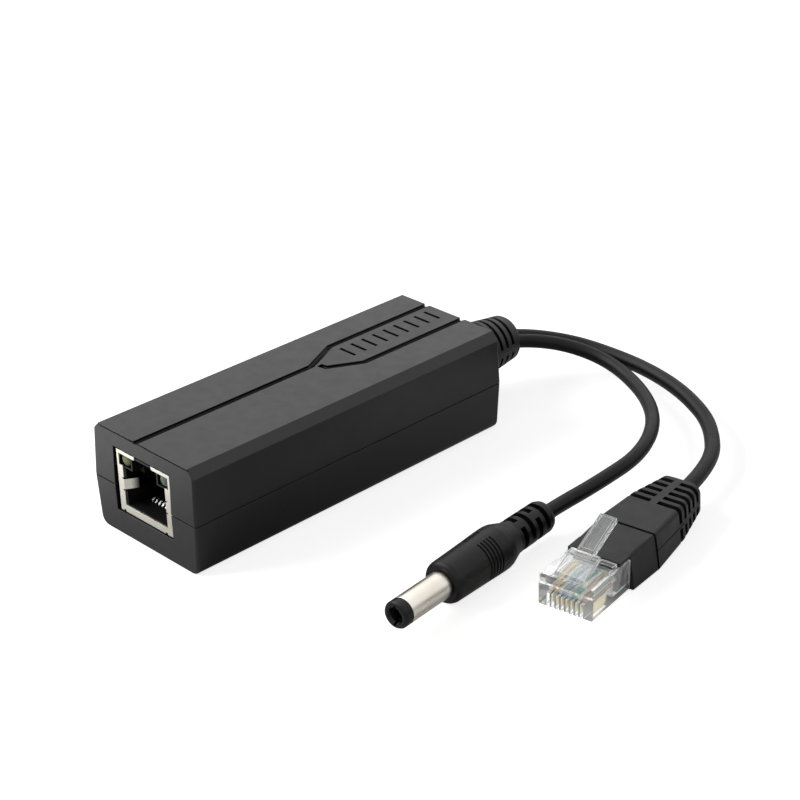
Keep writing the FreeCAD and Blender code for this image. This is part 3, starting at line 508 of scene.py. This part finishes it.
def dress_wire_row(name, node_name, across, pitch):
    material, tree, shader = new_material(name)
    low, high = (Vector(corner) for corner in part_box(node_name))
    middle = ((low + high) / 2).dot(Vector(across))
    half = pitch * len(WIRE_COLOURS) / 2
    ramp = tree.nodes.new("ShaderNodeValToRGB")
    ramp.color_ramp.interpolation = "CONSTANT"
    stops = ramp.color_ramp.elements
    while len(stops) < len(WIRE_COLOURS):
        stops.new(0.5)
    for i, (stop, tone) in enumerate(zip(stops, WIRE_COLOURS)):
        stop.position = i / len(WIRE_COLOURS)
        stop.color = colour(tone)
    along_row = map_range(tree, dot(tree, place(tree), across), middle - half, middle + half)
    tree.links.new(along_row, ramp.inputs["Fac"])
    tree.links.new(ramp.outputs["Color"], shader.inputs["Base Color"])
    tree.links.new(spread(tree, noise(tree, WIRE_GRAIN), 0.35, 0.5), shader.inputs["Roughness"])
    dress(material, node_name)


dress_wire_row("plug_wires", "data_plug_wires", PLUG_ACROSS, PLUG_WIRE_PITCH)
dress_wire_row("case_wires", "data_leads", (1, 0, 0), CASE_WIRE_PITCH)
dress(moulded("wire_red", (0.35, 0.02, 0.02), (0.50, 0.03, 0.03), 0.4), "power_leads")


# Floor, world and lamp. Camera and transmission rays see plain white, and glossy rays see a studio:
# painted shadow and painted pools of light on the floor, set by place, and a sky that is a little
# brighter on the left.

FLOOR_HALF = 0.7
FLOOR_DROP = 0.05 * MM
FLOOR_TONE = (0.8, 0.8, 0.8)
FLOOR_GLOW = 0.80
# Painted light and shade on the floor, seen only by glossy rays: where each change starts and ends,
# and its value at both ends
BEHIND = (-0.03, 0.065, 0.02, 0.24)
FARTHER = (0.060, 0.085, 1.0, 0.45)
RIGHT = (0.035, 0.055, 0.0, 0.09)
LEFT = (-0.015, 0.045, 0.0, 1.0)
AHEAD = (0.035, 0.080, 0.0, 0.85)
AHEAD_HEADING = (-0.45, -0.9, 0)
AMBIENT = 0.22
SKY = (-0.55, 0.40, 1.30, 1.00)         # from left to right
HORIZON = (0.0, 0.38, 0.08, 1.0)        # from the horizon up
WINDOW = (0.80, 0.97, 0.0, 2.2)
WINDOW_HEADING = (-0.62, -0.35, 0.70)
LAMP_PLACE = Vector((-0.45, -0.45, 0.45))
LAMP_AIM = Vector((0.02, 0.0, 0.0))
LAMP_SIZE = (0.5, 0.4)
LAMP_WATTS = 5.0


def by_ray(tree, camera, glossy, through, rest):
    """A strength for camera, glossy and transmission rays, over that of the rest."""
    path = tree.nodes.new("ShaderNodeLightPath")
    total = 0.0
    for ray, strength in (("Is Camera Ray", camera), ("Is Glossy Ray", glossy),
                          ("Is Transmission Ray", through)):
        over = math_node(tree, "SUBTRACT", strength, rest)
        term = math_node(tree, "MULTIPLY", path.outputs[ray], over)
        total = math_node(tree, "MAXIMUM", total, term)
    return math_node(tree, "ADD", total, rest)


def painted_floor_light_in_gloss(tree):
    """Painted reflection of the floor: a painted shadow beside the case, painted light behind it
    and under the plugs, and a bright painted pool ahead on the left.
    """
    spot = place(tree)
    behind = math_node(tree, "MULTIPLY", slope(tree, spot, (0, 1, 0), *BEHIND),
                       slope(tree, spot, (0, 1, 0), *FARTHER))
    right = slope(tree, spot, (1, 0, 0), *RIGHT)
    pool = math_node(tree, "MULTIPLY", slope(tree, spot, (-1, 0, 0), *LEFT),
                     slope(tree, spot, AHEAD_HEADING, *AHEAD))
    return math_node(tree, "ADD", math_node(tree, "ADD", behind, right), pool)


def add_floor():
    mesh = bpy.data.meshes.new("floor")
    half = FLOOR_HALF
    mesh.from_pydata([(-half, -half, 0), (half, -half, 0), (half, half, 0), (-half, half, 0)],
                     [], [(0, 1, 2, 3)])
    floor = bpy.data.objects.new("floor", mesh)
    bpy.context.collection.objects.link(floor)
    floor.location.z = -FLOOR_DROP
    material = bpy.data.materials.new("floor_white")
    material.use_nodes = True
    tree = material.node_tree
    tree.nodes.clear()
    output = tree.nodes.new("ShaderNodeOutputMaterial")
    both = tree.nodes.new("ShaderNodeAddShader")
    diffuse = tree.nodes.new("ShaderNodeBsdfDiffuse")
    diffuse.inputs["Color"].default_value = colour(FLOOR_TONE)
    glow = tree.nodes.new("ShaderNodeEmission")
    tree.links.new(by_ray(tree, FLOOR_GLOW, painted_floor_light_in_gloss(tree), FLOOR_GLOW, 0.0),
                   glow.inputs["Strength"])
    tree.links.new(diffuse.outputs[0], both.inputs[0])
    tree.links.new(glow.outputs[0], both.inputs[1])
    tree.links.new(both.outputs[0], output.inputs["Surface"])
    mesh.materials.append(material)


def set_world():
    world = bpy.data.worlds.new("studio")
    world.use_nodes = True
    bpy.context.scene.world = world
    tree = world.node_tree
    background = find(tree, "BACKGROUND")
    background.inputs["Color"].default_value = (1, 1, 1, 1)
    heading = tree.nodes.new("ShaderNodeTexCoord").outputs["Generated"]
    sky = math_node(tree, "MULTIPLY", slope(tree, heading, (1, 0, 0), *SKY),
                    slope(tree, heading, (0, 0, 1), *HORIZON))
    sky = math_node(tree, "ADD", sky, slope(tree, heading, WINDOW_HEADING, *WINDOW))
    tree.links.new(by_ray(tree, 1.0, sky, 1.0, AMBIENT), background.inputs["Strength"])


def add_lamp():
    data = bpy.data.lights.new("key_left", "AREA")
    data.shape = "RECTANGLE"
    data.size, data.size_y = LAMP_SIZE
    data.energy = LAMP_WATTS
    lamp = bpy.data.objects.new("key_left", data)
    bpy.context.collection.objects.link(lamp)
    lamp.location = LAMP_PLACE
    lamp.rotation_euler = (LAMP_AIM - LAMP_PLACE).to_track_quat("-Z", "Y").to_euler()
    lamp.visible_glossy = False


add_floor()
set_world()
add_lamp()

bpy.context.scene.view_settings.view_transform = "Standard"
